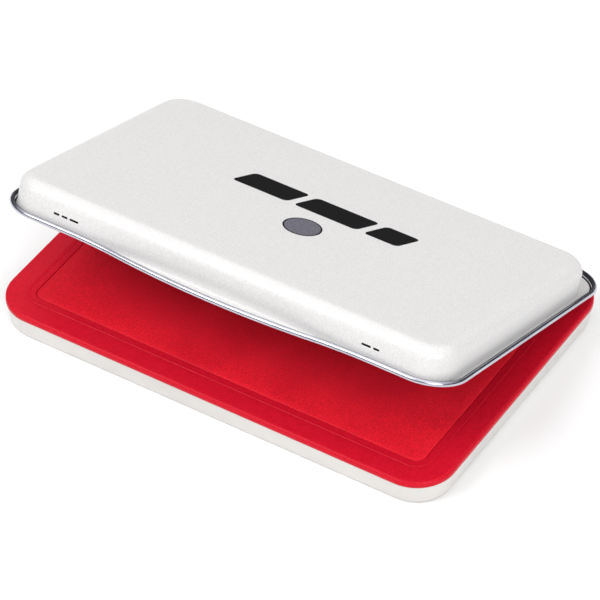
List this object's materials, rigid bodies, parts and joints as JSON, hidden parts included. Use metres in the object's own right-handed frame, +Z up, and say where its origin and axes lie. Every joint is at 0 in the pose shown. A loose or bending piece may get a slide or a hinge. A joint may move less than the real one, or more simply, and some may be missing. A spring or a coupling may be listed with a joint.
{
  "type": "Hinged-lid office ink pad",
  "caption": "A low rectangular ink pad: a white tray with a red frame and inked cloth pad, under a white enamelled tin lid with a finger lip, hinged along its back edge and standing part open.",
  "frame": {"origin": "centre of the flat face the tray stands on", "axes": "+X runs to the right along the hinge, -Y faces the front where the lid is lifted, +Z is up"},
  "size_m": [0.1212, 0.0827, 0.0409],
  "materials": {
    "tray_plastic": "white moulded plastic, smooth satin gloss",
    "frame_plastic": "red moulded plastic, glossy",
    "inked_cloth": "fine woven cotton soaked in red ink",
    "felt": "dense wool felt soaked in red ink",
    "board": "hard grey-brown board, uncoated",
    "white_enamel": "white baked enamel on tinplate, glossy with a faint orange peel",
    "black_print": "black printing on the white enamel, satin",
    "grey_print": "violet-grey printing on the white enamel, satin",
    "bare_tinplate": "bright bare tinplate",
    "pin_steel": "drawn steel wire"
  },
  "bodies": {
    "base": {"base_tray": "tray_plastic", "pad_frame": "frame_plastic", "backing_board": "board", "ink_felt": "felt", "pad_cloth": "inked_cloth"},
    "lid": {"lid_shell": "white_enamel", "lid_rolled_rim": "bare_tinplate", "hinge_pin_left": "pin_steel", "hinge_pin_right": "pin_steel"}
  },
  "joints": [
    {"name": "lid_hinge", "type": "hinge", "parent": "base", "child": "lid", "pos_m": [0, 0.0406, 0.00808], "axis": [-1, 0, 0], "range_deg": [-19.2, 160.8]}
  ]
}
